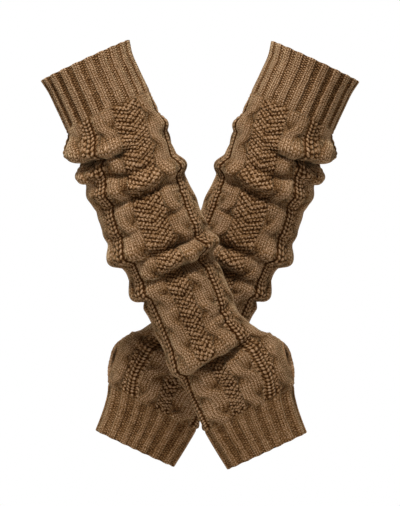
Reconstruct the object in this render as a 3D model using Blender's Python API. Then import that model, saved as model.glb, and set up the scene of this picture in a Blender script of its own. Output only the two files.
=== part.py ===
"""A pair of cable-knit arm warmers in their worn form, crossed like an X.

Each arm warmer is a long knitted tube from the elbow to the knuckles: a ribbed
upper cuff, a slouched forearm in two stretches, a wrist, a hand with a thumb
opening in its outer edge, and a ribbed knuckle cuff.  Every piece is a closed
wall whose outer points carry the ribs, cables and panels over a plain inside.

Working units are millimetres; metres are made where the meshes are written.
Along one tube, `along` is the distance from its upper rim down the arm,
`around` is a share of a full turn from the middle of the front (a quarter turn
is the thumb's edge), and `chart` is the same share counted on the knitted
pattern, which turns slowly round the arm.
"""

import bmesh
import bpy
import numpy as np
from mathutils import Vector

MM = 0.001

# Driving dimensions
LENGTH = 393.0          # upper rim to knuckle rim, as worn
TILT = 25.0             # lean of each tube from upright, degrees
CROSSING = 250.0        # from the upper rim to the point where the tubes cross
WALL = 2.2              # plain wall under the raised pattern
SEAM = 0.3              # space between two pieces at a seam
SURFACE = 1.0           # how far the pattern stands over the section's outline

# Where one piece ends and the next begins, along the tube
CUFF_END = 50.0
FOREARM_SPLIT = 147.0
WRIST = 228.0
ROLL_END = 299.0
HAND_END = 352.0
SEAMS = (CUFF_END, FOREARM_SPLIT, WRIST, ROLL_END, HAND_END)
SEAM_CALM = 10.0        # on both sides of a seam no crest sags over it
FOLD_CALM = 8.0         # the folds die out this far from the cuffs
SEAM_LEVEL = 6.0        # the wall's thickness turns level this far from a seam

# Tube sections: half widths to the little-finger side and the thumb side, half
# depth, and how far the tube's middle lies from the crossing plane.
SECTIONS = {
    "along": (0, 9, 28, 50, 80, 110, 140, 175, 190, 207, 225, 243, 267, 280, 293,
              303, 317, 327, 337, 345, 354, 368, 380, 393),
    "outer": (44, 42.5, 42, 42.2, 44.5, 47.5, 49.3, 49.5, 47, 46.3, 45.2, 45.2, 45.5, 46, 45.6,
              43.8, 43.7, 43.8, 44, 44.2, 43.5, 42.3, 41, 39.4),
    "thumb": (44.2, 41.8, 41, 41.2, 40.5, 38.5, 37.3, 36, 35, 31.8, 30, 30.3, 28.5, 31, 39,
              49, 57, 60, 57.5, 52, 46, 42, 40.5, 39.6),
    "depth": (40, 39, 38.6, 38.5, 38, 36.5, 35.5, 34, 33, 31.5, 30.5, 29.5, 29, 28.5, 27.5,
              26.5, 26, 25.5, 25, 24, 22.8, 21, 19.6, 19),
    "stand_off": (17, 18, 19, 20, 22, 25, 28, 31, 32, 32.5, 33, 33.2, 33.5, 33.8, 34,
                  34.2, 34.5, 34.8, 35, 35.3, 35.6, 36, 36.2, 36.5),
}

# How far the knitted pattern has turned round the arm, in turns
TWIST = {
    "along": (0, 75, 150, 245, 280, 315, 350, 393),
    "turn": (0.075, 0.064, 0.010, -0.012, -0.024, -0.060, -0.052, -0.050),
}

# How far a row of stitches drops for each millimetre towards the thumb side
SLANT = {
    "along": (0, 150, 250, 299, 352, 393),
    "drop": (0.0, 0.0, -0.05, -0.09, -0.04, 0.0),
}

# Folds: middle of the fold (along, around), its reach round the arm in turns,
# how far it rises (a trough is negative), half its width, how far it slides
# down the arm for a turn to the thumb side, and how far its crest sags.
FOLD_COLUMNS = ("along", "around", "reach", "rise", "half", "slope", "sag")
FOLDS = (
    # the front and the two edges, from the elbow to the hand
    (70, -0.22, 0.28, 11.5, 14, 64, 3),
    (87, -0.14, 0.22, -4.5, 8, 28, 0),
    (80, 0.25, 0.16, 4.5, 10, 0, 2),
    (82, -0.04, 0.10, 3.5, 9, 20, 2),
    (94, -0.21, 0.21, 9.0, 9, 40, 2),
    (111, -0.055, 0.11, -4.0, 6, 140, 0),
    (116, -0.17, 0.16, 3.5, 9, 40, 0),
    (121, 0.00, 0.14, 3.0, 9, 60, 2),
    (121, 0.16, 0.24, 7.0, 10, 5, 3),
    (133, -0.02, 0.28, -3.5, 8, 8, 0),
    (161, -0.13, 0.09, -2.0, 5, 20, 0),
    (161, 0.09, 0.10, -2.0, 5, -20, 0),
    (173, -0.22, 0.27, 8.5, 13, 45, 4),
    (188, 0.02, 0.27, -5.5, 8, 25, 0),
    (198, 0.14, 0.33, 9.0, 10, -8, 3),
    (211, 0.06, 0.28, -6.5, 10, 0, 0),
    (211, -0.22, 0.19, 7.0, 11, 30, 3),
    (222, -0.24, 0.13, -2.5, 6, 0, 0),
    (262, 0.12, 0.15, -2.0, 6, -30, 0),
    (286, -0.04, 0.34, 6.5, 12, 0, 5),
    (299, 0.00, 0.27, -5.5, 9, 0, 0),
    # the side that faces the wearer
    (72, 0.48, 0.22, 6.0, 12, -30, 3),
    (88, 0.50, 0.24, -4.5, 8, 10, 0),
    (101, 0.45, 0.20, 5.0, 10, 35, 3),
    (117, 0.55, 0.22, -4.0, 8, -15, 0),
    (130, 0.52, 0.24, 5.5, 11, 25, 3),
    (168, 0.47, 0.24, 6.5, 12, -25, 3),
    (184, 0.52, 0.24, -5.0, 8, 10, 0),
    (197, 0.50, 0.24, 4.5, 10, 12, 2),
    (214, 0.50, 0.24, -3.5, 8, -12, 0),
    (284, 0.50, 0.24, 5.0, 12, 0, 3),
    (299, 0.50, 0.24, -3.5, 9, 0, 0),
)

# The knitted chart, in turns from the middle of the front panel: a moss panel
# in front and one behind, and cables with narrow chains between them
MOSS = (0.0, 0.5)
MOSS_HALF = 0.052
MOSS_RISE = 1.3
MOSS_EDGE = 0.008       # how gently a panel meets the purl ground
CHAINS = (0.165, 0.33)
CHAIN_HALF = 0.0145
CHAIN_RISE = 1.7
CABLES = (0.0975, 0.2425, 0.4025)
CABLE_HALF = 0.042
CABLE_RISE = 2.4
STRAND_OFF = 0.38       # a strand's place and half width, as shares of the cable's half
STRAND_HALF = 0.62
STRAND_INNER = 0.36     # where a strand's inner column of points runs
STRAND_TURN = 7.0       # how quickly two strands change places
STRAND_LIFT = 0.35      # how much the upper strand rises where they cross
CROSSINGS = (42, 68, 95, 123, 156, 181, 203, 225, 252, 277, 299, 321, 346, 372)

# Half width of the moss panels, which draw in towards the hand
PANEL = {
    "along": (0, 185, 240, 285, 305, 352),
    "half": (0.052, 0.052, 0.040, 0.037, 0.030, 0.028),
}

# Ribbing of the two cuffs: how many ribs, and how far round the first groove
# lies from the middle of the front, in ribs
UPPER_RIBS = (20, 0.23)
KNUCKLE_RIBS = (16, 0.47)
RIB_RISE = 1.8
RIB_FLAT = 0.28         # flat top of a rib, as half its share of the pitch
RIB_POINTS = (0.0, 0.32, 0.68)

# Thumb opening: a slit in the cloth, held open
THUMB_CHART = 0.295
THUMB_TOP = 314.0
THUMB_BOTTOM = 347.0
THUMB_WIDTH = 24.0
THUMB_PULL = 0.20       # how far round the cloth gives way, in turns
THUMB_ROUND = 0.8       # below 1 the ends of the slit are rounder
THUMB_CLEAR = 0.012     # no column of points is nearer than this to the slit
HAND_GIRTH = 230.0

# Meshing
ROW_STEP = 9.5          # cloth between two rows of points, where it is steepest
CUFF_ROWS = 5
HAND_ROWS = (4, 6, 1)   # above the slit, beside it and below it
INNER_COLUMNS = 24
SAMPLES = (500, 24)     # places where the length of the cloth is measured
NEAR_ALONG = 0.4        # steps that give the wall's direction, in mm and in turns
NEAR_ROUND = 0.0005

YARN = (0.205, 0.115, 0.052, 1.0)
YARN_ROUGHNESS = 0.92
SHARP = 50.0            # degrees

# Side name, and the mirror sign: the front tube runs down to the right
SIDES = (("front", 1.0), ("back", -1.0))


def bump(x):
    """Rise and fall from 0 over 1 to 0 while x goes from -1 to 1."""
    return np.where(np.abs(x) < 1.0, 0.5 + 0.5 * np.cos(np.pi * x), 0.0)


def ease(x):
    """Climb from 0 to 1 while x goes from 0 to 1."""
    x = np.clip(x, 0.0, 1.0)
    return x * x * (3.0 - 2.0 * x)


def wrapped(turns):
    """The same place round the tube, from -0.5 to 0.5 turns."""
    return (turns + 0.5) % 1.0 - 0.5


def from_table(table, column, along):
    """A smooth curve through a table's rows."""
    x = np.array(table["along"], float)
    y = np.array(table[column], float)
    slope = np.gradient(y, x)
    along = np.clip(along, x[0], x[-1])
    k = np.clip(np.searchsorted(x, along) - 1, 0, len(x) - 2)
    width = x[k + 1] - x[k]
    t = (along - x[k]) / width
    h = ease(t)
    start = slope[k] * width * t * (1 - t) ** 2
    end = slope[k + 1] * width * t * t * (t - 1)
    return y[k] * (1 - h) + y[k + 1] * h + start + end


def folds(along, around):
    """Height and sag of the folds at a place on the tube."""
    rise = np.zeros(np.broadcast(along, around).shape)
    sag = np.zeros_like(rise)
    for row in FOLDS:
        fold = dict(zip(FOLD_COLUMNS, row))
        off = wrapped(around - fold["around"])
        here = along - fold["along"] - fold["slope"] * off
        part = bump(here / fold["half"]) * bump(off / fold["reach"])
        rise = rise + fold["rise"] * part
        sag = sag + fold["sag"] * part
    for seam in SEAMS:
        sag = sag * ease(np.abs(along - seam) / SEAM_CALM)
    calm = ease((along - CUFF_END) / FOLD_CALM) * ease((HAND_END - along) / FOLD_CALM)
    return rise * calm, sag * calm


def thumb_shift(chart, along):
    """How far the thumb pushes the cloth round the hand, in turns."""
    share = np.clip((along - THUMB_TOP) / (THUMB_BOTTOM - THUMB_TOP), 0.0, 1.0)
    gape = 0.5 * THUMB_WIDTH / HAND_GIRTH * np.sin(np.pi * share) ** THUMB_ROUND
    past = chart - THUMB_CHART
    after = np.clip(1.0 - past / THUMB_PULL, 0.0, 1.0) ** 2
    before = np.clip(1.0 - (1.0 - past) / THUMB_PULL, 0.0, 1.0) ** 2
    return gape * (after - before)


def drawn_in(chart, along):
    """Where a column of the chart lies once the moss panels have drawn in."""
    narrower = MOSS_HALF - from_table(PANEL, "half", along)
    for middle in MOSS:
        off = wrapped(chart - middle)
        share = np.interp(np.abs(off), (0.0, MOSS_HALF, CHAINS[0]), (0.0, 1.0, 0.0))
        chart = chart - narrower * np.sign(off) * share
    return chart


def plain_point(along, chart):
    """Point of the plain outer wall in the tube's own frame, in mm.

    Its parts run across to the thumb side, away from the front, and down."""
    around = chart + from_table(TWIST, "turn", along) + thumb_shift(chart, along)
    outer = from_table(SECTIONS, "outer", along) - SURFACE
    thumb = from_table(SECTIONS, "thumb", along) - SURFACE
    depth = from_table(SECTIONS, "depth", along) - SURFACE
    half = 0.5 * (outer + thumb)
    phi = 2.0 * np.pi * around
    flatness = (half - depth) / (half + depth)
    angle = phi - 0.5 * flatness * np.sin(2.0 * phi)
    across = np.sin(angle) / half
    away = -np.cos(angle) / depth
    size = np.sqrt(across ** 2 + away ** 2)
    rise, sag = folds(along, around)
    over = 0.5 * (thumb - outer) + half * np.sin(angle) + rise * across / size
    back = -depth * np.cos(angle) + rise * away / size
    down = along + sag + over * from_table(SLANT, "drop", along)
    return np.stack(np.broadcast_arrays(over, back, down), axis=-1)


def outward(along, chart):
    """Direction out of the wall, level at the seams and rims."""
    down = plain_point(along + NEAR_ALONG, chart) - plain_point(along - NEAR_ALONG, chart)
    round_it = plain_point(along, chart + NEAR_ROUND) - plain_point(along, chart - NEAR_ROUND)
    normal = np.cross(round_it, down)
    free = np.minimum.reduce([np.abs(along - end) for end in (0.0, *SEAMS, LENGTH)])
    normal[..., 2] *= ease((free - SEAM) / SEAM_LEVEL)
    return normal / np.linalg.norm(normal, axis=-1, keepdims=True)


def tube_point(along, chart, lift, sign):
    """Point of one tube in the shared frame, in mm, lifted off its plain wall."""
    lifted = plain_point(along, chart) + np.asarray(lift)[..., None] * outward(along, chart)
    stand_off = from_table(SECTIONS, "stand_off", along)
    over, back, down = lifted[..., 0], lifted[..., 1], lifted[..., 2] - CROSSING
    tilt = np.radians(TILT)
    x = over * np.cos(tilt) + down * np.sin(tilt)
    z = over * np.sin(tilt) - down * np.cos(tilt)
    return np.stack(np.broadcast_arrays(sign * x, back - sign * stand_off, z), axis=-1)


def cloth_length():
    """Worn distance along the tube, and the cloth gathered in it where the
    folds are steepest."""
    along = np.linspace(0.0, LENGTH, SAMPLES[0])
    chart = np.linspace(-0.5, 0.5, SAMPLES[1], endpoint=False)
    points = plain_point(along[:, None], chart[None, :])
    steps = np.linalg.norm(np.diff(points, axis=0), axis=2).max(axis=1)
    return along, np.concatenate(([0.0], np.cumsum(steps)))


WORN, STEEPEST = cloth_length()


def cable_rise(off, along):
    """Two strands that change places over and over; the one that comes from
    the little-finger side lies on top.  off runs from -1 to 1."""
    crossed = np.interp(along, CROSSINGS, np.arange(len(CROSSINGS)))
    share = (crossed + 0.5) % 1.0 - 0.5
    swap = np.tanh(STRAND_TURN * share) / np.tanh(0.5 * STRAND_TURN)
    rise = 0.0
    for side in (1.0, -1.0):
        height = CABLE_RISE * (1.0 + side * STRAND_LIFT * bump(2.0 * share))
        body = 1.0 - np.abs((off - side * STRAND_OFF * swap) / STRAND_HALF) ** 3
        rise = np.maximum(rise, height * np.sqrt(np.clip(body, 0.0, 1.0)))
    return rise


def pattern(along, chart):
    """Rise of the cables, chains and moss panels, and where their columns lie."""
    rise = np.zeros(np.broadcast(along, chart).shape)
    for middle in MOSS:
        off = np.abs(wrapped(chart - middle))
        rise = np.maximum(rise, MOSS_RISE * ease((MOSS_HALF - off) / MOSS_EDGE + 1.0))
    for side in (1.0, -1.0):
        for middle in CABLES:
            off = wrapped(chart - side * middle) / CABLE_HALF
            rise = np.maximum(rise, cable_rise(off, along))
        for middle in CHAINS:
            off = wrapped(chart - side * middle) / CHAIN_HALF
            rise = np.maximum(rise, CHAIN_RISE * np.clip(1.0 - off ** 2, 0.0, 1.0))
    return rise, drawn_in(chart, along)


def ribbing(ribs, turned):
    """Rise of a cuff's ribs: flat-topped knit columns with grooves between."""
    def rib_rise(along, chart):
        share = np.abs((chart * ribs - turned) % 1.0 - 0.5)
        rise = RIB_RISE * ease((0.5 - share) / (0.5 - RIB_FLAT))
        return rise + 0.0 * along, chart
    return rib_rise


def plain_inside(along, chart):
    """The inner face, one wall's thickness in."""
    return 0.0 * (along + chart) - WALL, chart


def chart_columns():
    """Columns of points that follow the chart's cables, chains and panels."""
    columns = [MOSS[0], MOSS[1]]
    for side in (1.0, -1.0):
        for middle in CABLES:
            shares = (-1.0, -STRAND_INNER, STRAND_INNER, 1.0)
            columns += [side * (middle + CABLE_HALF * share) for share in shares]
        for middle in CHAINS:
            columns += [side * (middle + CHAIN_HALF * share) for share in (-1.0, 0.0, 1.0)]
        edge = MOSS_HALF - 0.5 * MOSS_EDGE
        columns += [side * edge, side * (MOSS[1] - edge)]
    return sorted(columns)


def rib_columns(ribs, turned):
    """Three points to a rib: its groove and the two edges of its top."""
    return [(k + part + turned) / ribs - 0.5 for k in range(ribs) for part in RIB_POINTS]


def rows_between(start, end):
    """Rows from one seam to the next, closer together on steep folds."""
    low, high = np.interp((start, end), WORN, STEEPEST)
    count = round((high - low) / ROW_STEP)
    return list(np.interp(np.linspace(low, high, count + 1), STEEPEST, WORN))


def hand_rows():
    """Rows of the hand, with one at each end of the thumb slit."""
    ends = (ROLL_END + SEAM, THUMB_TOP, THUMB_BOTTOM, HAND_END - SEAM / 2)
    rows = [ends[0]]
    for start, end, count in zip(ends, ends[1:], HAND_ROWS):
        rows += list(np.linspace(start, end, count + 1)[1:])
    return rows


def from_slit(columns):
    """The columns in order from the thumb slit once round to it again."""
    after = sorted((c - THUMB_CHART) % 1.0 for c in columns)
    apart = [THUMB_CHART + c for c in after if THUMB_CLEAR < c < 1.0 - THUMB_CLEAR]
    return [THUMB_CHART] + apart + [THUMB_CHART + 1.0]


def grid(bm, rows, columns, form, sign):
    """Vertices of one face of a wall, a list for each row."""
    along = np.array(rows)[:, None]
    rise, chart = form(along, np.array(columns)[None, :])
    points = tube_point(along, chart, rise, sign) * MM
    return [[bm.verts.new(Vector(p)) for p in row] for row in points]


def close_round(bm, verts, rows, slit):
    """Join each row's end to its start, but for the rows where the slit gapes."""
    for along, row in zip(rows, verts):
        if slit and THUMB_TOP < along < THUMB_BOTTOM:
            continue
        if slit:
            bm.verts.remove(row.pop())
        row.append(row[0])


def skin(bm, verts):
    """Quads over a grid of vertices."""
    for upper, lower in zip(verts, verts[1:]):
        for k in range(len(upper) - 1):
            bm.faces.new((upper[k], upper[k + 1], lower[k + 1], lower[k]))


def zip_rims(bm, first, second):
    """Triangles between two rims with different numbers of points, always
    taking the shorter way across."""
    i = j = 0
    while i < len(first) - 1 or j < len(second) - 1:
        ahead = j == len(second) - 1
        if not ahead and i < len(first) - 1:
            longer = (first[i].co - second[j + 1].co).length
            ahead = (first[i + 1].co - second[j].co).length < longer
        if ahead:
            bm.faces.new((first[i], first[i + 1], second[j]))
            i += 1
        else:
            bm.faces.new((first[i], second[j + 1], second[j]))
            j += 1


def slit_edges(bm, outside, inside, rows):
    """Faces along both edges of the thumb slit."""
    first, last = rows.index(THUMB_TOP), rows.index(THUMB_BOTTOM)
    for edge in (0, -1):
        for k in range(first, last):
            bm.faces.new((outside[k][edge], outside[k + 1][edge],
                          inside[k + 1][edge], inside[k][edge]))


def knit_wall(name, rows, columns, form, sign, material, slit=False):
    """One piece of knitting: raised outside, plain inside, rims between."""
    inner = list(np.arange(INNER_COLUMNS) / INNER_COLUMNS - 0.5)
    if slit:
        columns, inner = from_slit(columns), from_slit(inner)
    bm = bmesh.new()
    outside = grid(bm, rows, columns, form, sign)
    inside = grid(bm, rows, inner, plain_inside, sign)
    for face in (outside, inside):
        close_round(bm, face, rows, slit)
        skin(bm, face)
    zip_rims(bm, outside[0], inside[0])
    zip_rims(bm, outside[-1], inside[-1])
    if slit:
        slit_edges(bm, outside, inside, rows)
    bmesh.ops.recalc_face_normals(bm, faces=bm.faces)
    mesh = bpy.data.meshes.new(name)
    bm.to_mesh(mesh)
    bm.free()
    mesh.materials.append(material)
    mesh.shade_smooth()
    mesh.set_sharp_from_angle(angle=np.radians(SHARP))
    piece = bpy.data.objects.new(name, mesh)
    bpy.context.scene.collection.objects.link(piece)


def yarn_material(name):
    """Matt brown knitting yarn."""
    material = bpy.data.materials.new(name)
    material.use_nodes = True
    shader = material.node_tree.nodes["Principled BSDF"]
    shader.inputs["Base Color"].default_value = YARN
    shader.inputs["Roughness"].default_value = YARN_ROUGHNESS
    shader.inputs["Metallic"].default_value = 0.0
    return material


def arm_warmer(side, sign, material):
    """The six pieces of one arm warmer."""
    charted = chart_columns()
    stretches = (
        ("upper_forearm", CUFF_END + SEAM / 2, FOREARM_SPLIT - SEAM / 2),
        ("lower_forearm", FOREARM_SPLIT + SEAM / 2, WRIST - SEAM / 2),
        ("wrist", WRIST + SEAM / 2, ROLL_END),
    )
    for stretch, start, end in stretches:
        rows = rows_between(start, end)
        knit_wall(f"{side}_{stretch}", rows, charted, pattern, sign, material)
    knit_wall(f"{side}_hand", hand_rows(), charted, pattern, sign, material, slit=True)
    cuffs = (
        ("upper_cuff", 0.0, CUFF_END - SEAM / 2, UPPER_RIBS),
        ("knuckle_cuff", HAND_END + SEAM / 2, LENGTH, KNUCKLE_RIBS),
    )
    for cuff, start, end, ribs in cuffs:
        rows = list(np.linspace(start, end, CUFF_ROWS))
        knit_wall(f"{side}_{cuff}", rows, rib_columns(*ribs), ribbing(*ribs), sign, material)


def main():
    for thing in list(bpy.data.objects):
        bpy.data.objects.remove(thing, do_unlink=True)
    for side, sign in SIDES:
        arm_warmer(side, sign, yarn_material(f"{side}_brown_yarn"))


main()
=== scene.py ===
# %% [markdown]
# # A pair of cable-knit arm warmers
# Two long knitted tubes, worn slouched on forearms that cross. Each one has a
# ribbed cuff below the elbow, a forearm of cables and moss stitch that has slid
# down into rolls, a hand with a slit for the thumb, and a ribbed cuff over the
# knuckles. The solids of the frame say where the cloth is. This lesson knits the
# same walls again on a far finer grid, with every cable, rib and moss bump as
# real relief, and leaves to the material the single stitches and the shade that
# the chart paints into the colour of gaps, furrows, edges and troughs.

import bpy
import numpy as np
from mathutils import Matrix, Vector


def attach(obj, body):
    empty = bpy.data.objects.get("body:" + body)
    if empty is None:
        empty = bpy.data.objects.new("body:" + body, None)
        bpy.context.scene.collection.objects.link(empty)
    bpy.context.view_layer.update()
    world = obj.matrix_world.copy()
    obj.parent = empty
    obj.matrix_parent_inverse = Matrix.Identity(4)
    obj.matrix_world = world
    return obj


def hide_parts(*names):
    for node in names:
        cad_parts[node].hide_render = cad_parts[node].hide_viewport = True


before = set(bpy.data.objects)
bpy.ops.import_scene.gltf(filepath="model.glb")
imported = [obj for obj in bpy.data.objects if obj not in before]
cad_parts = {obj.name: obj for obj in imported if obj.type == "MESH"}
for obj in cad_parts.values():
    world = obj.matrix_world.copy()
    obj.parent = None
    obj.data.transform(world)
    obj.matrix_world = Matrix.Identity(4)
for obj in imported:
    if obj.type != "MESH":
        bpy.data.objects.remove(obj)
bpy.ops.object.select_all(action="DESELECT")
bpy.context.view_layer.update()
print("solids:", sorted(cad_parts))

# %% [markdown]
# ## The worn tube
# An arm warmer is easiest to describe along its own arm: how far down from the
# upper rim, and how far round. The tables hold the section at a few places: the
# reach to the little-finger edge and to the thumb edge, the half depth, and how
# far the arm stands off the plane where the two arms cross. They are the sizes
# of the solids, in millimetres. A smooth curve runs through each column.

# %% Sizes of the tube
MM = 0.001
LENGTH = 393.0          # of an arm warmer as it is worn, from rim to rim
TILT = np.radians(25.0)     # how far each arm leans from upright
CROSSING = 250.0        # how far down the arm the two arms cross
WALL = 2.2              # thickness of plain cloth
SURFACE = 1.0           # how far plain cloth lies inside the sizes in the table
CUFF_END, FOREARM_SPLIT, WRIST, ROLL_END, HAND_END = 50.0, 147.0, 228.0, 299.0, 352.0
SEAMS = (CUFF_END, FOREARM_SPLIT, WRIST, ROLL_END, HAND_END)
SEAM_CALM = 10.0        # on both sides of a seam no crest sags over it
FOLD_CALM = 8.0         # the folds die out this far from the cuffs

SECTIONS = {
    "along": (0, 9, 28, 50, 80, 110, 140, 175, 190, 207, 225, 243, 267, 280, 293,
              303, 317, 327, 337, 345, 354, 368, 380, 393),
    "outer": (44, 42.5, 42, 42.2, 44.5, 47.5, 49.3, 49.5, 47, 46.3, 45.2, 45.2, 45.5,
              46, 45.6, 43.8, 43.7, 43.8, 44, 44.2, 43.5, 42.3, 41, 39.4),
    "thumb": (44.2, 41.8, 41, 41.2, 40.5, 38.5, 37.3, 36, 35, 31.8, 30, 30.3, 28.5,
              31, 39, 49, 57, 60, 57.5, 52, 46, 42, 40.5, 39.6),
    "depth": (40, 39, 38.6, 38.5, 38, 36.5, 35.5, 34, 33, 31.5, 30.5, 29.5, 29,
              28.5, 27.5, 26.5, 26, 25.5, 25, 24, 22.8, 21, 19.6, 19),
    "stand_off": (17, 18, 19, 20, 22, 25, 28, 31, 32, 32.5, 33, 33.2, 33.5,
                  33.8, 34, 34.2, 34.5, 34.8, 35, 35.3, 35.6, 36, 36.2, 36.5),
}
# how the columns of stitches turn round the arm, and how the rows slant across it
TWIST = {
    "along": (0, 75, 150, 245, 280, 315, 350, 393),
    "turn": (0.075, 0.064, 0.010, -0.012, -0.024, -0.060, -0.052, -0.050),
}
SLANT = {
    "along": (0, 150, 250, 299, 352, 393),
    "drop": (0.0, 0.0, -0.05, -0.09, -0.04, 0.0),
}


def ease(x):
    """Climb from 0 to 1 while x goes from 0 to 1."""
    x = np.clip(x, 0.0, 1.0)
    return x * x * (3.0 - 2.0 * x)


def bump(x):
    """Rise and fall from 0 over 1 to 0 while x goes from -1 to 1."""
    return np.where(np.abs(x) < 1.0, 0.5 + 0.5 * np.cos(np.pi * x), 0.0)


def wrapped(turns):
    """The same place round the tube, from -0.5 to 0.5 turns."""
    return (turns + 0.5) % 1.0 - 0.5


def from_table(table, column, along):
    """A smooth curve through a table's rows."""
    x = np.array(table["along"], float)
    y = np.array(table[column], float)
    slope = np.gradient(y, x)
    along = np.clip(along, x[0], x[-1])
    k = np.clip(np.searchsorted(x, along) - 1, 0, len(x) - 2)
    width = x[k + 1] - x[k]
    t = (along - x[k]) / width
    start = slope[k] * width * t * (1 - t) ** 2
    end = slope[k + 1] * width * t * t * (t - 1)
    return y[k] * (1 - ease(t)) + y[k + 1] * ease(t) + start + end


print("widest at the thumb:", max(SECTIONS["outer"]) + max(SECTIONS["thumb"]), "mm")

# %% [markdown]
# ## The slouch
# A tube longer than the arm slides down and gathers into rolls. Each row of the
# table is one fold: where its middle is, how far it reaches
# round, how far it rises or sinks, half its width, how much it slants, and how
# far its crest sags over the cloth below. The solids have the folds of the first
# table. The second adds what only shows in fine cloth: a tight line under each
# roll, where the cloth doubles back, fuller and flatter crests, and dimples.

# %% Folds
FOLD_COLUMNS = ("along", "around", "reach", "rise", "half", "slope", "sag")
FOLDS = (
    # front and edges
    (70, -0.22, 0.28, 11.5, 14, 64, 3),
    (87, -0.14, 0.22, -4.5, 8, 28, 0),
    (80, 0.25, 0.16, 4.5, 10, 0, 2),
    (82, -0.04, 0.10, 3.5, 9, 20, 2),
    (94, -0.21, 0.21, 9.0, 9, 40, 2),
    (111, -0.055, 0.11, -4.0, 6, 140, 0),
    (116, -0.17, 0.16, 3.5, 9, 40, 0),
    (121, 0.00, 0.14, 3.0, 9, 60, 2),
    (121, 0.16, 0.24, 7.0, 10, 5, 3),
    (133, -0.02, 0.28, -3.5, 8, 8, 0),
    (161, -0.13, 0.09, -2.0, 5, 20, 0),
    (161, 0.09, 0.10, -2.0, 5, -20, 0),
    (173, -0.22, 0.27, 8.5, 13, 45, 4),
    (188, 0.02, 0.27, -5.5, 8, 25, 0),
    (198, 0.14, 0.33, 9.0, 10, -8, 3),
    (211, 0.06, 0.28, -6.5, 10, 0, 0),
    (211, -0.22, 0.19, 7.0, 11, 30, 3),
    (222, -0.24, 0.13, -2.5, 6, 0, 0),
    (262, 0.12, 0.15, -2.0, 6, -30, 0),
    (286, -0.04, 0.34, 6.5, 12, 0, 5),
    (299, 0.00, 0.27, -5.5, 9, 0, 0),
    # side that faces the wearer
    (72, 0.48, 0.22, 6.0, 12, -30, 3),
    (88, 0.50, 0.24, -4.5, 8, 10, 0),
    (101, 0.45, 0.20, 5.0, 10, 35, 3),
    (117, 0.55, 0.22, -4.0, 8, -15, 0),
    (130, 0.52, 0.24, 5.5, 11, 25, 3),
    (168, 0.47, 0.24, 6.5, 12, -25, 3),
    (184, 0.52, 0.24, -5.0, 8, 10, 0),
    (197, 0.50, 0.24, 4.5, 10, 12, 2),
    (214, 0.50, 0.24, -3.5, 8, -12, 0),
    (284, 0.50, 0.24, 5.0, 12, 0, 3),
    (299, 0.50, 0.24, -3.5, 9, 0, 0),
)
CREASES = (
    # tight lines under the rolls
    (86, -0.17, 0.14, -3.5, 4, 28, 0),
    (90.5, -0.05, 0.10, -3.5, 4, 8, 0),
    (106, -0.055, 0.12, -4.5, 5.5, 155, 0),
    (133.5, 0.04, 0.12, -3.0, 3.5, 0, 0),
    (132, -0.12, 0.09, -1.4, 3.5, 20, 0),
    (182, -0.09, 0.09, -2.6, 3.5, 30, 0),
    (188.5, 0.055, 0.07, -4.0, 4, 25, 0),
    (207, 0.00, 0.24, -3.0, 6, 0, 0),
    (296, -0.02, 0.20, -4.0, 4.5, 0, 0),
    (272, 0.13, 0.09, -1.6, 3, -40, 0),
    (112, 0.03, 0.11, -2.5, 5, 40, 0),
    # fuller and flatter crests on the rolls
    (79, -0.09, 0.12, 2.5, 7, 30, 0),
    (94.5, -0.25, 0.10, -3.0, 4, 0, 0),
    (121, -0.05, 0.20, 3.0, 8, 20, 1),
    # dimples and small swells
    (61, 0.10, 0.07, -1.3, 4, 30, 0),
    (78, 0.02, 0.08, -1.6, 4, 20, 0),
    (99, 0.07, 0.09, 1.2, 5, -15, 0),
    (145, 0.16, 0.08, -1.2, 4, 10, 0),
    (152, -0.20, 0.07, 1.4, 6, 0, 0),
    (178, 0.17, 0.09, 1.6, 6, -20, 0),
    (226, 0.03, 0.12, 1.3, 7, 15, 0),
    (236, -0.05, 0.10, -1.2, 4, -25, 0),
    (250, 0.02, 0.10, 1.2, 6, 12, 0),
    (276, -0.20, 0.09, 1.4, 6, 0, 0),
    (311, 0.13, 0.08, -1.3, 4, -25, 0),
    # side that faces the wearer
    (88, 0.50, 0.16, -2.0, 3.5, 10, 0),
    (117, 0.55, 0.15, -2.0, 3.5, -15, 0),
    (184, 0.52, 0.16, -2.2, 3.5, 10, 0),
    (213, 0.50, 0.16, -2.0, 3.5, -12, 0),
    (298, 0.50, 0.16, -2.0, 4, 0, 0),
    (147, 0.42, 0.14, -1.5, 5, 20, 0),
    (232, 0.45, 0.15, 1.6, 8, -15, 0),
    (247, 0.55, 0.14, -1.4, 5, 12, 0),
    (265, 0.47, 0.14, 1.3, 7, 10, 0),
)


def folds(along, around):
    """Height and sag of the folds at a place on the tube."""
    rise = np.zeros(np.broadcast(along, around).shape)
    sag = np.zeros_like(rise)
    for row in FOLDS + CREASES:
        fold = dict(zip(FOLD_COLUMNS, row))
        off = wrapped(around - fold["around"])
        here = along - fold["along"] - fold["slope"] * off
        part = bump(here / fold["half"]) * bump(off / fold["reach"])
        rise += fold["rise"] * part
        sag += fold["sag"] * part
    for seam in SEAMS:
        sag *= ease(np.abs(along - seam) / SEAM_CALM)
    calm = ease((along - CUFF_END) / FOLD_CALM) * ease((HAND_END - along) / FOLD_CALM)
    return rise * calm, sag * calm


print(len(FOLDS), "folds and", len(CREASES), "creases")

# %% [markdown]
# ## The thumb slit
# The knitter leaves a slit in the outer edge of the hand, and the thumb spreads
# it into the shape of an eye. The columns of stitches on both sides give way,
# most at the slit and less further round. The moss panels in front and behind
# draw in towards the hand, where the arm is narrower.

# %% Thumb slit and panels
THUMB_CHART = 0.295     # where the slit lies in the chart, in turns from the front
THUMB_TOP, THUMB_BOTTOM = 314.0, 347.0
THUMB_WIDTH = 24.0
THUMB_PULL = 0.20       # how far round the cloth gives way, in turns
THUMB_ROUND = 0.8       # the lower, the blunter the ends of the slit
HAND_GIRTH = 230.0

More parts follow.
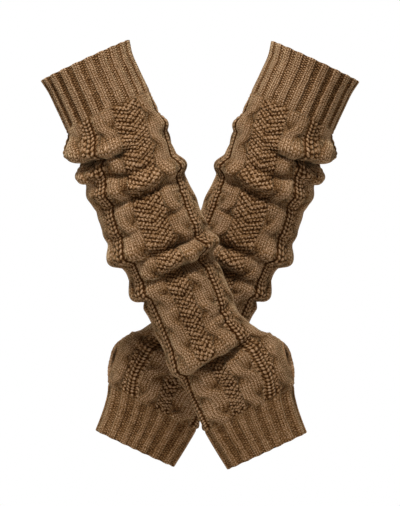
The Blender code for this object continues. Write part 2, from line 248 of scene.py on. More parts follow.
# middles and half widths in the chart, in turns
MOSS = (0.0, 0.5)
MOSS_HALF = 0.052
CHAINS = (0.165, 0.33)
PANEL = {
    "along": (0, 185, 240, 285, 305, 352),
    "half": (0.052, 0.052, 0.038, 0.034, 0.025, 0.024),
}


def thumb_shift(chart, along):
    """How far the thumb pushes the cloth round the hand, in turns."""
    share = np.clip((along - THUMB_TOP) / (THUMB_BOTTOM - THUMB_TOP), 0.0, 1.0)
    gape = 0.5 * THUMB_WIDTH / HAND_GIRTH * np.sin(np.pi * share) ** THUMB_ROUND
    past = chart - THUMB_CHART
    after = np.clip(1.0 - past / THUMB_PULL, 0.0, 1.0) ** 2
    before = np.clip(1.0 - (1.0 - past) / THUMB_PULL, 0.0, 1.0) ** 2
    return gape * (after - before)


def drawn_in(chart, along):
    """Where a column of the chart lies once the moss panels have drawn in."""
    narrower = MOSS_HALF - from_table(PANEL, "half", along)
    for middle in MOSS:
        off = wrapped(chart - middle)
        share = np.interp(np.abs(off), (0.0, MOSS_HALF, CHAINS[0]), (0.0, 1.0, 0.0))
        chart = chart - narrower * np.sign(off) * share
    return chart


# %% Places on the tube
NEAR_ALONG, NEAR_ROUND = 0.4, 0.0005    # steps that find a wall's direction, mm and turns
SEAM_UPRIGHT = 6.0      # within this many mm of a seam the wall turns level
LENGTH_ROWS, LENGTH_COLUMNS = 800, 24   # places at which the cloth is measured


def plain_point(along, chart):
    """A place on the plain outer wall: across to the thumb, back, and down."""
    around = chart + from_table(TWIST, "turn", along) + thumb_shift(chart, along)
    outer = from_table(SECTIONS, "outer", along) - SURFACE
    thumb = from_table(SECTIONS, "thumb", along) - SURFACE
    depth = from_table(SECTIONS, "depth", along) - SURFACE
    half = 0.5 * (outer + thumb)
    phi = 2.0 * np.pi * around
    flatness = (half - depth) / (half + depth)
    angle = phi - 0.5 * flatness * np.sin(2.0 * phi)
    across = np.sin(angle) / half
    away = -np.cos(angle) / depth
    size = np.sqrt(across ** 2 + away ** 2)
    rise, sag = folds(along, around)
    over = 0.5 * (thumb - outer) + half * np.sin(angle) + rise * across / size
    back = -depth * np.cos(angle) + rise * away / size
    down = along + sag + over * from_table(SLANT, "drop", along)
    return np.stack(np.broadcast_arrays(over, back, down), axis=-1)


def outward(along, chart):
    """Direction out of the wall, level at the seams and rims."""
    down = plain_point(along + NEAR_ALONG, chart) - plain_point(along - NEAR_ALONG, chart)
    round_it = plain_point(along, chart + NEAR_ROUND) - plain_point(along, chart - NEAR_ROUND)
    normal = np.cross(round_it, down)
    free = np.minimum.reduce([np.abs(along - end) for end in (0.0, *SEAMS, LENGTH)])
    normal[..., 2] *= ease(free / SEAM_UPRIGHT)
    return normal / np.linalg.norm(normal, axis=-1, keepdims=True)


def in_frame(local, along, sign):
    """From the tube's own directions to the shared frame, in metres."""
    stand_off = from_table(SECTIONS, "stand_off", along)
    over, back, down = local[..., 0], local[..., 1], local[..., 2] - CROSSING
    x = over * np.cos(TILT) + down * np.sin(TILT)
    z = over * np.sin(TILT) - down * np.cos(TILT)
    return np.stack(np.broadcast_arrays(sign * x, back - sign * stand_off, z), axis=-1) * MM


def cloth_length():
    """Distance down the arm against the length of cloth gathered in it."""
    along = np.linspace(0.0, LENGTH, LENGTH_ROWS)
    chart = np.linspace(-0.5, 0.5, LENGTH_COLUMNS, endpoint=False)
    points = plain_point(along[:, None], chart[None, :])
    steps = np.linalg.norm(np.diff(points, axis=0), axis=2).mean(axis=1)
    return along, np.concatenate(([0.0], np.cumsum(steps)))


WORN, CLOTH = cloth_length()
print(f"{LENGTH:.0f} mm worn holds {CLOTH[-1]:.0f} mm of cloth")

# %% [markdown]
# ## The knitted chart
# Round the arm run columns of different knitting. Moss stitch is a field of
# bumps in a chequer with small gaps between them, painted dark. A cable is a
# broad band of plain stitches whose two halves change places every few rows:
# the half from the little-finger side passes over, and the other dives under
# it. Between one cable and the next stands a chain: two columns of links with
# a row of gaps between them, in a groove with moss bumps on both sides. Each
# column is a function that says how high the cloth stands, how much shade is
# painted into its colour, and where the single stitches fall, so that the
# material can draw them.

# %% Sizes of the chart
GIRTH = 250.0           # cloth round the arm, mm
WALES = 100             # columns of stitches round the arm
COURSE = 2.15           # one row of stitches, mm
GROUND_SHADE = 0.45     # painted shade where no column stands

# Moss bumps. Rises and gaps are in mm. A shade is painted into the colour and goes from 0,
# lit, to 1, dark.
SEED_WIDE, SEED_TALL = 3.2, 2.2     # from one column and one row to the next, mm
SEED_LEAN = 0.08        # how far the bumps join in lines down to the panel's middle
SEED_SLIM = 2.3         # how much slimmer than a plain wave the bumps are, across
SEED_DRAPE = -0.1       # how the rows of bumps slope away from the middle
STRAY_DOWN = (0.45, 0.53, 1.7)      # how a bump strays down and across: how far, mm,
STRAY_OVER = (0.8, 0.83, 0.37)      # and how fast that changes down and across
SEED_BRIGHT, SEED_DARK = 0.68, 0.24     # parts of a bump fully lit and fully in shade
MOSS_RISE = 1.5
MOSS_GAP = 1.3          # how deep the gaps are
MOSS_EDGE = 0.008       # over which a panel runs out, in turns
MOSS_SINGLE = 0.5       # how clear the single stitches are, from 0 to 1

# Chains, with moss bumps beside them.
CHAIN_PLACE = 2.1       # each column of a chain lies this far from its middle, mm
CHAIN_WIDE = 1.7
CHAIN_REACH = 4.2       # half the width of a whole chain, mm
CHAIN_BLUNT = 4         # the higher, the blunter the edges of its section
CHAIN_RISE = 1.9
CHAIN_FLOOR = 0.45      # height between the links, as a share of the whole
CHAIN_SINGLE = 0.3
LINK = 3.8              # from one link of a chain to the next, mm
LINK_SLOPE = 0.45       # how a link leans down to the chain's middle
LINK_NECK = 0.3         # what is left of a link at its ends, as a share
BESIDE_REACH = 2.5      # how far the bumps beside a chain go, in chain reaches
BESIDE_RISE = 0.9
BESIDE_GAP = 0.8
GROOVE_SHADE = 0.6      # painted shade in the groove right beside a chain
GROOVE_WIDE = 1.6

# Cables, placed in turns. Strands are placed in shares of a cable's half width.
CABLES = (0.0975, 0.2425, 0.4025)
CABLE_HALF = 0.042
CABLE_RISE = 2.6
CABLE_BED = 1.0         # the plain ground under a cable's two strands
# painted shade on the plain ground under a cable
BED_SHADE = 0.3
CABLE_SINGLE = 0.9
STRAND_OFF, STRAND_HALF = 0.38, 0.62
STRAND_BLUNT = 3
STRAND_TURN = 7.0       # how quickly the strands change places
STRAND_LIFT = 0.45      # how much higher and lower they run where they cross
STRAND_WALES = 5
EDGE_SHADE = 0.3        # painted shade on the edges of a strand between crossings
UNDER_SHADE = 0.5       # painted shadow on the lower strand where it dives
PANEL_SIDES = 5.0       # how steeply the ground under a cable or a chain starts
CROSSINGS = (42, 68, 95, 123, 156, 181, 203, 225, 252, 277, 299, 321, 346, 372)

MARKS = ("shade", "plain", "single")    # for the material, each from 0 to 1; the shade is painted into the colour


class Knit:
    """What the chart says of every point: rise, place in stitches, and marks.

    The marks are the painted shade, plain (1) or purl (0), and how clear single
    stitches are.
    """

    def __init__(self, chart, cloth):
        shape = np.broadcast(chart, cloth).shape
        self.rise = np.zeros(shape)
        self.shade = np.full(shape, GROUND_SHADE)
        self.wale = np.broadcast_to(chart * WALES, shape).copy()
        self.course = np.broadcast_to(cloth / COURSE, shape).copy()
        self.plain = np.zeros(shape)
        self.single = np.ones(shape)

    def lay(self, rise, shade, plain, single, wale=None):
        """Put a column over what is there, wherever it stands higher."""
        over = rise > self.rise
        self.rise = np.where(over, rise, self.rise)
        self.shade = np.where(over, shade, self.shade)
        self.plain = np.where(over, plain, self.plain)
        self.single = np.where(over, single, self.single)
        if wale is not None:
            self.wale = np.where(over, wale, self.wale)

    def mix(self, other, share):
        """Turn into the other chart by this share."""
        for name in ("rise", *MARKS):
            own = getattr(self, name)
            setattr(self, name, own + share * (getattr(other, name) - own))
        self.wale = np.where(share > 0.5, other.wale, self.wale)


def stray(strays, across, cloth):
    """How far a bump strays from an even grid, in mm."""
    far, down, over = strays
    return far * np.sin(down * cloth + over * across)


def seeds(across, cloth):
    """Moss bumps, 1 on each bump and 0 in each gap, never quite even.

    They stand in a chequer: one even grid of bumps, and a second whose bumps
    fill the middles of the first.
    """
    row = cloth + SEED_DRAPE * across + stray(STRAY_DOWN, across, cloth)
    column = across + stray(STRAY_OVER, across, cloth)
    down, over = 0.5 * np.pi * row / SEED_TALL, 0.5 * np.pi * column / SEED_WIDE
    first = np.abs(np.cos(down)) * np.abs(np.cos(over)) ** SEED_SLIM
    second = np.abs(np.sin(down)) * np.abs(np.sin(over)) ** SEED_SLIM
    lean = SEED_LEAN * np.sin(2.0 * down) * np.sin(2.0 * over)
    return np.clip(np.maximum(first, second) - lean, 0.0, 1.0)


def chain_links(across, cloth):
    """Two columns of links, 1 on each link and 0 in the gaps beside it."""
    link = 0.5 + 0.5 * np.cos(2.0 * np.pi * (cloth + LINK_SLOPE * across) / LINK)
    column = np.exp(-((across - CHAIN_PLACE) / CHAIN_WIDE) ** 2)
    return np.clip(column * (LINK_NECK + link), 0.0, 1.0)


def seed_shade(stand):
    """How much shade is painted where a bump or a link stands this high, from 0 to 1."""
    return ease((SEED_BRIGHT - stand) / (SEED_BRIGHT - SEED_DARK))


def rounded(off, blunt):
    """The section of a strand: 1 in the middle, and 0 from the edge on."""
    return np.clip(1.0 - np.abs(off) ** blunt, 0.0, 1.0) ** 0.5


def lay_moss(knit, place, along, cloth, middle):
    """A panel of moss stitch, the same on both sides of its middle."""
    off = np.abs(wrapped(place - middle))
    across = off * GIRTH * from_table(PANEL, "half", along) / MOSS_HALF
    part = ease((MOSS_HALF - off) / MOSS_EDGE + 1.0)
    stand = seeds(across, cloth)
    rise = (MOSS_RISE - MOSS_GAP * (1.0 - stand)) * part
    knit.lay(rise, seed_shade(stand), 1.0, single=MOSS_SINGLE)


def lay_chain(knit, place, cloth, middle):
    """A chain in a groove, with moss bumps on both sides of it."""
    across = np.abs(wrapped(place - middle)) * GIRTH
    ground = seeds(across, cloth)
    groove = bump((across - CHAIN_REACH) / GROOVE_WIDE)
    part = ease((1.0 - across / (BESIDE_REACH * CHAIN_REACH)) * PANEL_SIDES)
    rise = (BESIDE_RISE - BESIDE_GAP * (1.0 - ground)) * (part * (1.0 - groove))
    # Painted shade in the gaps between bumps, and in the groove beside the chain.
    shade = np.maximum(seed_shade(ground), GROOVE_SHADE * groove)
    knit.lay(rise, shade, 0.0, single=CHAIN_SINGLE)
    stand = chain_links(across, cloth)
    body = rounded(across / CHAIN_REACH, CHAIN_BLUNT)
    rise = CHAIN_RISE * body * (CHAIN_FLOOR + (1.0 - CHAIN_FLOOR) * stand)
    knit.lay(rise, seed_shade(body * stand), 1.0, single=CHAIN_SINGLE)


def lay_cable(knit, place, along, middle):
    """A broad band whose two strands change places at each crossing."""
    off = wrapped(place - middle) / CABLE_HALF
    crossed = np.interp(along, CROSSINGS, np.arange(len(CROSSINGS)))
    share = (crossed + 0.5) % 1.0 - 0.5
    swap = np.tanh(STRAND_TURN * share) / np.tanh(0.5 * STRAND_TURN)
    near = bump(2.0 * share)
    bed = CABLE_BED * ease((1.0 - np.abs(off)) * PANEL_SIDES)
    knit.lay(bed, BED_SHADE, 1.0, single=CABLE_SINGLE, wale=STRAND_WALES * off)
    for side in (1.0, -1.0):
        within = (off - side * STRAND_OFF * swap) / STRAND_HALF
        body = rounded(within, STRAND_BLUNT)
        height = CABLE_RISE * (1.0 + side * STRAND_LIFT * near)
        # Painted shade along a strand's edges, strongest at a crossing, and a painted shadow
        # on the lower strand where it dives.
        edge = (1.0 - body) * (EDGE_SHADE + (1.0 - EDGE_SHADE) * near)
        under = UNDER_SHADE * near if side < 0 else 0.0
        wale = 0.5 * STRAND_WALES * (within + 1.0)
        knit.lay(height * body, edge + under, 1.0, single=CABLE_SINGLE, wale=wale)


def body_chart(chart, along):
    """The whole pattern of the forearm and the hand."""
    cloth = np.interp(along, WORN, CLOTH)
    place = wrapped(chart)
    knit = Knit(chart, cloth)
    for middle in MOSS:
        lay_moss(knit, place, along, cloth, middle)
    for side in (1.0, -1.0):
        for middle in CHAINS:
            lay_chain(knit, place, cloth, side * middle)
        for middle in CABLES:
            lay_cable(knit, place, along, side * middle)
    return knit


# %% [markdown]
# ## Ribbing
# Both cuffs are knitted in ribs: three plain columns stand up and two purl ones
# sink between them, which lets the cuff grip the arm. On the little-finger side
# the ribs draw together, so the furrows are deeper there, and painted shade makes
# them darker. The tops, furrows and edges of the ribs carry painted shade as well.
# The ends of the ribs stand a little past the furrows, so each rim waves. The ribs
# run out into the pattern of the forearm and the hand over a few rows.

# %% Ribs
# The rows below say how many ribs a cuff has, how far they are turned, in ribs,
# and how far from a rib's middle its top ends and the furrow starts, in ribs.
# Then come the painted shades of top, furrow and edge, how clear the single stitches
# are, and how far the ribs draw together, which deepens the furrows and paints more shade in
# them.
RIB_COLUMNS = ("count", "turned", "flat", "floor", "top", "band", "edge", "single", "drawn")
UPPER_RIBS = (20, 0.23, 0.22, 0.36, 0.0, 0.12, 0.30, 1.0, 0.3)
KNUCKLE_RIBS = (16, 0.47, 0.16, 0.32, 0.17, 0.34, 0.08, 0.8, 0.1)
DRAWN_MIDDLE, DRAWN_REACH = -0.22, 0.26     # where the ribs draw together, in turns
RIB_WALES = 5
RIB_RISE = 1.9
RIB_CROWN = 0.15        # share of a rib's height that only its middle has
RIB_EDGE = 0.35         # share of the climb from furrow to top where the edge is darkest
RIB_BLEND = 2.5         # mm on either side of the seam
RIM_WAVE, RIM_REACH = 0.5, 6.0      # how far rib ends stand past the rim, and fade, mm
TROUGH_DEEP = 5.0       # a trough this deep presses its stitches flat and takes the full painted shade, mm
TROUGH_PRESS = 0.4      # how much of their height they lose
TROUGH_PAINTED_SHADE = 0.35     # painted shade laid into a trough, as a share of what is still unshaded


def rib_place(ribs, place):
    """A place in ribs: whole numbers lie in the middle of a furrow."""
    return place * ribs["count"] - ribs["turned"]


def rib_chart(row, place, along):
    """The chart of a cuff with the ribs that a row gives."""
    ribs = dict(zip(RIB_COLUMNS, row))
    knit = Knit(place, np.interp(along, WORN, CLOTH))
    rib = rib_place(ribs, place)
    share = np.abs(rib % 1.0 - 0.5)
    top = ease((ribs["floor"] - share) / (ribs["floor"] - ribs["flat"]))
    crown = 1.0 - RIB_CROWN + RIB_CROWN * bump(share / ribs["floor"])
    # Where the ribs draw together the furrows sink deeper and take more painted shade. Tops,
    # furrows and rib edges each get their own painted shade.
    drawn = ribs["drawn"] * bump(wrapped(place - DRAWN_MIDDLE) / DRAWN_REACH)
    knit.rise = RIB_RISE * top * crown - drawn * (1.0 - top)
    knit.shade = ribs["top"] * top + (ribs["band"] + drawn) * (1.0 - top)
    knit.shade += ribs["edge"] * bump(2.0 * (top - RIB_EDGE))
    knit.wale = rib * RIB_WALES
    knit.plain = ease(top * 2.0)
    knit.single = np.full(knit.rise.shape, ribs["single"])
    return knit


def rim_wave(row, rim, place, along):
    """How far the ends of the ribs stand past a rim."""
    ribs = dict(zip(RIB_COLUMNS, row))
    crest = 0.5 - 0.5 * np.cos(2.0 * np.pi * rib_place(ribs, place))
    return RIM_WAVE * crest * ease(1.0 - np.abs(along - rim) / RIM_REACH)


def whole_chart(chart, along):
    """Everything the chart says, cuffs included, with the troughs pressed flat and painted
    with shade.
    """
    knit = body_chart(chart, along)
    place = drawn_in(chart, along)
    for row, seam, way in ((UPPER_RIBS, CUFF_END, -1.0), (KNUCKLE_RIBS, HAND_END, 1.0)):
        share = ease(0.5 + way * (along - seam) / (2.0 * RIB_BLEND))
        knit.mix(rib_chart(row, place, along), share)
    around = place + from_table(TWIST, "turn", along)
    trough = np.clip(-folds(along, around)[0] / TROUGH_DEEP, 0.0, 1.0)
    knit.rise = knit.rise * (1.0 - TROUGH_PRESS * trough)
    # Painted shade: the deeper a trough, the darker its colour.
    knit.shade = knit.shade + TROUGH_PAINTED_SHADE * trough * (1.0 - knit.shade)
    return knit


# %% [markdown]
# ## Knitting a wall
# Each piece starts as a flat grid, as cloth does, with a column for every 0.8 mm
# round the arm. Its rows run down the outside, over the rim, and back up the
# inside, where nothing shows and few rows are enough. The grid is then bent to
# its place point by point, and its edges are merged, which closes the wall. The
# hand is one sheet instead, from the slit round to the slit, and is thickened
# afterwards. The slit has a finished lip, with plain stitches beside it. The
# grid's own texture map is kept, in stitches, for the material.

# %% Grid to wall
COLUMNS = 320
ROW_STEP = 0.8          # mm of cloth from one row of the grid to the next
INNER_STEP = 6.0        # the same on the inside of the wall
MERGE = 1e-6
SHARP = np.radians(60.0)    # edges sharper than this aren't smoothed
RIM_ROUND = ((0.86, 0.55), (0.5, 0.85), (0.14, 0.55))   # share outside, mm past the rim
LIP_RISE, LIP_WIDE = 0.9, 3.0       # the finished edge of the slit
SLIT_PLAIN = 9.0        # mm of plain stitches on both sides of the slit
SLIT_PRESS = 0.5        # how much of their height the cables lose there
SLIT_SHADE = 0.15


def deselect():
    """Nothing selected and nothing active."""
    bpy.ops.object.select_all(action="DESELECT")
    bpy.context.view_layer.objects.active = None


def even_rows(start, end, step):
    """Places down the arm at even lengths of cloth."""
    low, high = np.interp((start, end), WORN, CLOTH)
    count = max(2, round((high - low) / step))
    return np.interp(np.linspace(low, high, count + 1), CLOTH, WORN)


def lay_grid(name, points, knit):
    """A flat grid with its points, its stitch map and its marks set."""
    rows, columns = points.shape[0] - 1, points.shape[1] - 1
    deselect()
    bpy.ops.mesh.primitive_grid_add(x_subdivisions=columns, y_subdivisions=rows, size=1.0)
    piece = bpy.context.object
    piece.name = name
    mesh = piece.data
    mesh.name = name
    flat = np.empty(len(mesh.vertices) * 3)
    mesh.vertices.foreach_get("co", flat)
    flat = flat.reshape(-1, 3)
    column = np.rint((flat[:, 0] + 0.5) * columns).astype(int)
    row = np.rint((flat[:, 1] + 0.5) * rows).astype(int)
    mesh.vertices.foreach_set("co", points[row, column].ravel())
    for name in MARKS:
        values = getattr(knit, name)[row, column].astype(np.float32)
        mesh.attributes.new(name, "FLOAT", "POINT").data.foreach_set("value", values)
    corner = np.empty(len(mesh.loops), int)
    mesh.loops.foreach_get("vertex_index", corner)
    stitches = np.stack((knit.wale[row, column], knit.course[row, column]), axis=-1)
    stitches = stitches[corner].astype(np.float32)
    mesh.uv_layers[0].name = "stitches"
    mesh.uv_layers["stitches"].uv.foreach_set("vector", stitches.ravel())
    return piece


def close_edges(sign):
    """Merge the active piece's edges that meet, and turn its faces outwards."""
    bpy.ops.object.mode_set(mode="EDIT")
    bpy.ops.mesh.select_all(action="SELECT")
    bpy.ops.mesh.remove_doubles(threshold=MERGE)
    if sign > 0:
        bpy.ops.mesh.flip_normals()
    bpy.ops.object.mode_set(mode="OBJECT")


def knit_wall(name, sign, start, end):
    """A closed tube of knitting from one place on the arm to another."""
    rows = [(a, 1.0, 0.0) for a in even_rows(start, end, ROW_STEP)]
    if end == LENGTH:
        rows += [(end, share, past) for share, past in RIM_ROUND]
    rows += [(a, 0.0, 0.0) for a in even_rows(start, end, INNER_STEP)[::-1]]
    if start == 0.0:
        rows += [(start, 1.0 - share, -past) for share, past in RIM_ROUND]
    rows.append(rows[0])
    along, share, past = (np.array(column)[:, None] for column in zip(*rows))
    chart = np.linspace(-0.5, 0.5, COLUMNS + 1)[None, :]
    knit = whole_chart(chart, along)
    lift = share * knit.rise - (1.0 - share) * WALL
    place = drawn_in(chart, along)
    local = plain_point(along, place) + lift[..., None] * outward(along, place)
    local[..., 2] += past - rim_wave(UPPER_RIBS, 0.0, place, along)
    local[..., 2] += rim_wave(KNUCKLE_RIBS, LENGTH, place, along)
    local[:, -1] = local[:, 0]
    piece = lay_grid(name, in_frame(local, along, sign), knit)
    close_edges(sign)
    return piece


def knit_hand(name, sign):
    """The hand: an open sheet from the slit round to the slit, made into a wall."""
    along = np.concatenate((even_rows(ROLL_END, THUMB_TOP, ROW_STEP),
                            even_rows(THUMB_TOP, THUMB_BOTTOM, ROW_STEP)[1:],
                            even_rows(THUMB_BOTTOM, HAND_END, ROW_STEP)[1:]))[:, None]
    chart = np.linspace(THUMB_CHART, THUMB_CHART + 1.0, COLUMNS + 1)[None, :]
    knit = whole_chart(chart, along)
    edge = np.minimum(chart - THUMB_CHART, THUMB_CHART + 1.0 - chart) * HAND_GIRTH
    lip = LIP_RISE * ease(1.0 - edge / LIP_WIDE)
    lip = lip * ease((along - THUMB_TOP + LIP_WIDE) / LIP_WIDE)
    lip = lip * ease((THUMB_BOTTOM + LIP_WIDE - along) / LIP_WIDE)
    beside = ease(2.0 - edge / SLIT_PLAIN) * ease((along - ROLL_END) / LIP_WIDE - 1.0)
    beside = beside * ease((HAND_END - along) / LIP_WIDE - 1.0)
    knit.rise = (knit.rise + lip) * (1.0 - SLIT_PRESS * beside)
    # Beside the slit the painted shade eases towards SLIT_SHADE.
    knit.shade = knit.shade + beside * (SLIT_SHADE - knit.shade)
    place = drawn_in(chart, along)
    local = plain_point(along, place) + knit.rise[..., None] * outward(along, place)
    joined = (along[:, 0] <= THUMB_TOP) | (along[:, 0] >= THUMB_BOTTOM)
    local[joined, -1] = local[joined, 0]
    piece = lay_grid(name, in_frame(local, along, sign), knit)
    close_edges(sign)
    wall = piece.modifiers.new("wall", "SOLIDIFY")
    wall.thickness = (WALL + SURFACE) * MM
    wall.offset = -1.0
    bpy.ops.object.modifier_apply(modifier="wall")
    return piece


# %% [markdown]
# ## The yarn
# The yarn is a soft matt spun blend, dyed a warm mid brown. Spun yarn scatters
# light through its fibres, so it has no gloss and a faint pale bloom at grazing
# angles. The gaps between stitches, and the shade that the chart marks, are
# painted shade that darkens the colour. Single stitches are 2 to 3 mm wide and
# lean like the legs of a V. They are too many to model, so they are a bump and
# painted shade in their gaps, drawn on the map of stitches.

# %% Colours
def linear(hex_colour):
    """An sRGB hex colour as linear values."""
    parts = [int(hex_colour[k:k + 2], 16) / 255.0 for k in (0, 2, 4)]
    low = [p / 12.92 if p <= 0.04045 else ((p + 0.055) / 1.055) ** 2.4 for p in parts]
    return (*low, 1.0)


# The ramp runs from painted shade, in the shaded colour, to the yarn's unshaded crowns, in
# the light one.
YARN_LIGHT = linear("C9A685")
YARN_MID = linear("84603C")
YARN_SHADED = linear("321904")
YARN_BLOOM = linear("DCC094")
TONES = (0.1, 0.5, 0.95)    # tones with the dark, the middle and the light colour
STITCH_DEPTH = 0.8      # mm between a stitch's crown and the gap beside it
STITCH_BUMP = 0.9
CROWN_FALL = 2.4        # how steeply a column of stitches falls to the gap beside it
SMOOTH_HEIGHT = 0.80    # where the single stitches don't show
STITCH_LEAN = 1.4       # rows that the leg of a stitch climbs from edge to middle
VEES = (0.66, 0.34)     # middle and reach of the waves of plain stitches
BARS = (0.6, 0.4)       # and of purl stitches
STRAY_ROWS, STRAY_WALES = 2.0, -1.0     # stray from an even grid, in stitches
FIBRE_TONE, CLOUD_TONE = 0.9, 0.3
FIBRE_BUMP = 0.5
FIBRE = 1.5             # mm, the width of a tuft of fibres
UNEVEN = 7.0            # mm, over which the stitches grow looser and tighter
CLOUD = 14.0            # mm, the size of a patch a little lighter or darker
YARN_SURFACE = {
    "Roughness": 0.95,
    "Specular IOR Level": 0.05,
    "Sheen Weight": 0.8,
    "Sheen Roughness": 0.35,
    "Sheen Tint": YARN_BLOOM,
}


# %% Material
def add_node(tree, kind, links=(), **settings):
    """Add a node with these settings, and set or link its inputs."""
    node = tree.nodes.new(kind)
    for key, value in settings.items():
        setattr(node, key, value)
    for socket, source in links:
        if isinstance(source, (int, float)):
            node.inputs[socket].default_value = source
        else:
            tree.links.new(source, node.inputs[socket])
    return node


def maths(tree, operation, a, b=0.0, c=0.0):
    """One sum, with links or plain numbers as its inputs."""
    links = [(0, a), (1, b), (2, c)]
    return add_node(tree, "ShaderNodeMath", links, operation=operation).outputs[0]


def noise(tree, place, size, detail):
    """Noise about its middle, with patches of this size in mm."""
    node = add_node(tree, "ShaderNodeTexNoise",
                    [("Vector", place), ("Scale", 1.0 / (size * MM)), ("Detail", detail)])
    return maths(tree, "SUBTRACT", node.outputs["Fac"], 0.5)


def mark(tree, name):
    """One of the marks that the chart left on the mesh."""
    return add_node(tree, "ShaderNodeAttribute", attribute_name=name).outputs["Fac"]


def wave(tree, turns, middle, reach):
    """A cosine of whole turns about its middle."""
    cosine = maths(tree, "COSINE", maths(tree, "MULTIPLY", turns, 2.0 * np.pi))
    return maths(tree, "MULTIPLY_ADD", cosine, reach, middle)


def stitch_height(tree, place):
    """Height of the single stitches, from 0 in the gaps to 1 on the crowns."""
    stitches = add_node(tree, "ShaderNodeUVMap", uv_map="stitches")
    parts = add_node(tree, "ShaderNodeSeparateXYZ", [(0, stitches.outputs[0])])
    wale, course = parts.outputs[0], parts.outputs[1]
    uneven = noise(tree, place, UNEVEN, detail=1.0)
    course = maths(tree, "MULTIPLY_ADD", uneven, STRAY_ROWS, course)
    wale = maths(tree, "MULTIPLY_ADD", uneven, STRAY_WALES, wale)
    side = maths(tree, "ABSOLUTE", maths(tree, "SUBTRACT", maths(tree, "FRACT", wale), 0.5))
    crown = maths(tree, "MULTIPLY_ADD", maths(tree, "MULTIPLY", side, side), -CROWN_FALL, 1.0)
    lean = maths(tree, "MULTIPLY_ADD", side, -STITCH_LEAN, course)
    vees = maths(tree, "MULTIPLY", crown, wave(tree, lean, *VEES))
    parity = maths(tree, "FRACT", maths(tree, "MULTIPLY", maths(tree, "FLOOR", wale), 0.5))
    bars = wave(tree, maths(tree, "ADD", course, parity), *BARS)
    bars = maths(tree, "MULTIPLY", crown, bars)
    stitch = maths(tree, "MULTIPLY_ADD", mark(tree, "plain"),
                   maths(tree, "SUBTRACT", vees, bars), bars)
    return maths(tree, "MULTIPLY_ADD", mark(tree, "single"),
                 maths(tree, "SUBTRACT", stitch, SMOOTH_HEIGHT), SMOOTH_HEIGHT)


def spun_yarn(name):
    """Brown spun yarn, knitted: painted shade in its gaps, matt, with a faint bloom."""
    material = bpy.data.materials.new(name)
    material.use_nodes = True
    tree = material.node_tree
    shader = tree.nodes["Principled BSDF"]
    place = add_node(tree, "ShaderNodeTexCoord").outputs["Object"]
    height = stitch_height(tree, place)
    fibres = noise(tree, place, FIBRE, detail=3.0)
    cloud = noise(tree, place, CLOUD, detail=2.0)
    # The colour darkens with painted shade: in the gaps between single stitches, and by the
    # chart's shade mark. Fibres and cloud are tone that differs at random.
    unshaded_share = maths(tree, "SUBTRACT", 1.0, mark(tree, "shade"))
    tone_and_shade = maths(tree, "MULTIPLY", height, unshaded_share)
    tone_and_shade = maths(tree, "MULTIPLY_ADD", fibres, FIBRE_TONE, tone_and_shade)
    tone_and_shade = maths(tree, "MULTIPLY_ADD", cloud, CLOUD_TONE, tone_and_shade)
    ramp = add_node(tree, "ShaderNodeValToRGB", [("Fac", tone_and_shade)])
    first, last = ramp.color_ramp.elements
    first.position, first.color = TONES[0], YARN_SHADED
    last.position, last.color = TONES[2], YARN_LIGHT
    ramp.color_ramp.elements.new(TONES[1]).color = YARN_MID
    tree.links.new(ramp.outputs["Color"], shader.inputs["Base Color"])
    rough = maths(tree, "ADD", height, maths(tree, "MULTIPLY", fibres, FIBRE_BUMP))
    bumps = add_node(tree, "ShaderNodeBump",
                     [("Height", rough), ("Strength", STITCH_BUMP),
                      ("Distance", STITCH_DEPTH * MM)])
    tree.links.new(bumps.outputs["Normal"], shader.inputs["Normal"])
    for socket, value in YARN_SURFACE.items():
        shader.inputs[socket].default_value = value
    return material


yarn = spun_yarn("brown_spun_yarn")
print("material:", yarn.name)

# %% [markdown]
# ## Both arm warmers
# The two arm warmers mirror each other. The front one runs down to the right,
# and the back one stands behind it by the depth of an arm.


def finish_piece(piece, node):
    """Material, shading, body and slot of a finished piece; its solid is hidden."""
    piece.data.materials.clear()
    piece.data.materials.append(yarn)
    deselect()
    piece.select_set(True)
    bpy.context.view_layer.objects.active = piece
    bpy.ops.object.shade_smooth_by_angle(angle=SHARP)
    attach(piece, "root")
    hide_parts(node)
    print(piece.name, len(piece.data.polygons), "faces")


def arm_warmer(side, sign):
    """The six stretches of one arm warmer."""
    walls = (
        ("upper_cuff", 0.0, CUFF_END),
        ("upper_forearm", CUFF_END, FOREARM_SPLIT),
        ("lower_forearm", FOREARM_SPLIT, WRIST),
        ("wrist", WRIST, ROLL_END),
        ("knuckle_cuff", HAND_END, LENGTH),
    )
    for part, start, end in walls:
        piece = knit_wall(f"{side}_{part}_knit", sign, start, end)
        finish_piece(piece, f"{side}_{part}")
    finish_piece(knit_hand(f"{side}_hand_knit", sign), f"{side}_hand")


arm_warmer("front", 1.0)
arm_warmer("back", -1.0)

# %% [markdown]
# ## The studio
# A pale floor below, an even pale surround, and soft lamps: a key lamp above and
# in front, which leaves shade under each roll, a fill lamp on either side, and a
# lamp behind for the edges.
# The camera stands far off with a long lens, level with the pair, so that both
# arm warmers are seen straight on at the same scale.

# %% Floor and light
FLOOR_LEVEL = -0.26
FLOOR_SIZE = 3.0
FLOOR_COLOUR = linear("D8D6D2")
FLOOR_ROUGHNESS = 0.9
SURROUND_COLOUR = linear("FFFFFF")
SURROUND_LIGHT = 0.17   # what it lights with, as a share of how bright it looks
LAMPS = (
    # name, place and size in metres, power in watts
    ("key", (-0.2, -0.7, 1.1), 0.3, 15.0),
    ("fill_left", (-1.8, -0.7, 0.5), 1.0, 5.0),
    ("fill_right", (1.8, -0.7, 0.5), 1.0, 5.0),
    ("back", (0.0, 1.6, 1.2), 1.0, 28.0),
)


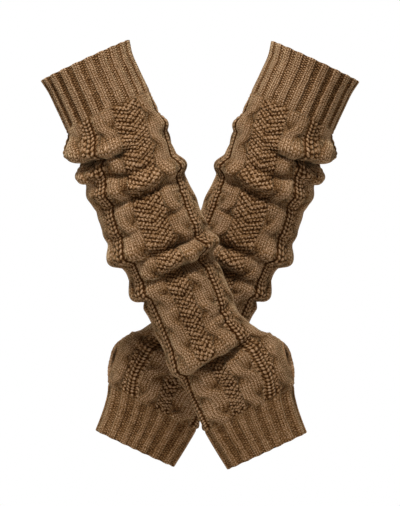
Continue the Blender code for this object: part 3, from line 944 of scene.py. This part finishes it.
def add_lamp(name, place, size, power):
    """A square soft lamp that looks at the pair."""
    data = bpy.data.lights.new(name, "AREA")
    data.size = size
    data.energy = power
    lamp = bpy.data.objects.new(name, data)
    lamp.location = place
    lamp.rotation_euler = (-Vector(place)).to_track_quat("-Z", "Y").to_euler()
    bpy.context.scene.collection.objects.link(lamp)


def add_floor():
    """A matt pale floor."""
    deselect()
    bpy.ops.mesh.primitive_plane_add(size=FLOOR_SIZE, location=(0.0, 0.0, FLOOR_LEVEL))
    floor = bpy.context.object
    floor.name = "floor"
    paint = bpy.data.materials.new("pale_floor")
    paint.use_nodes = True
    shader = paint.node_tree.nodes["Principled BSDF"]
    shader.inputs["Base Color"].default_value = FLOOR_COLOUR
    shader.inputs["Roughness"].default_value = FLOOR_ROUGHNESS
    floor.data.materials.append(paint)


def add_surround():
    """A white surround, which lights the pair more softly than it looks."""
    world = bpy.data.worlds.new("surround")
    world.use_nodes = True
    tree = world.node_tree
    sky = tree.nodes["Background"]
    seen = add_node(tree, "ShaderNodeLightPath").outputs["Is Camera Ray"]
    light = maths(tree, "MULTIPLY", seen, 1.0 - SURROUND_LIGHT)
    light = maths(tree, "ADD", light, SURROUND_LIGHT)
    tree.links.new(light, sky.inputs["Strength"])
    sky.inputs["Color"].default_value = SURROUND_COLOUR
    bpy.context.scene.world = world


add_floor()
add_surround()
for lamp in LAMPS:
    add_lamp(*lamp)

# %% Camera
VIEW_WIDTH = 0.368      # what the view takes in at the crossing, metres
CAMERA_PLACE = (-0.0005, -6.0, 0.0506)
SENSOR = 36.0

camera_data = bpy.data.cameras.new("camera")
camera_data.sensor_fit = "HORIZONTAL"
camera_data.sensor_width = SENSOR
camera_data.lens = SENSOR * -CAMERA_PLACE[1] / VIEW_WIDTH
camera = bpy.data.objects.new("camera", camera_data)
camera.location = CAMERA_PLACE
camera.rotation_euler = (np.radians(90.0), 0.0, 0.0)
bpy.context.scene.collection.objects.link(camera)
bpy.context.scene.camera = camera
bpy.context.scene.view_settings.view_transform = "Standard"
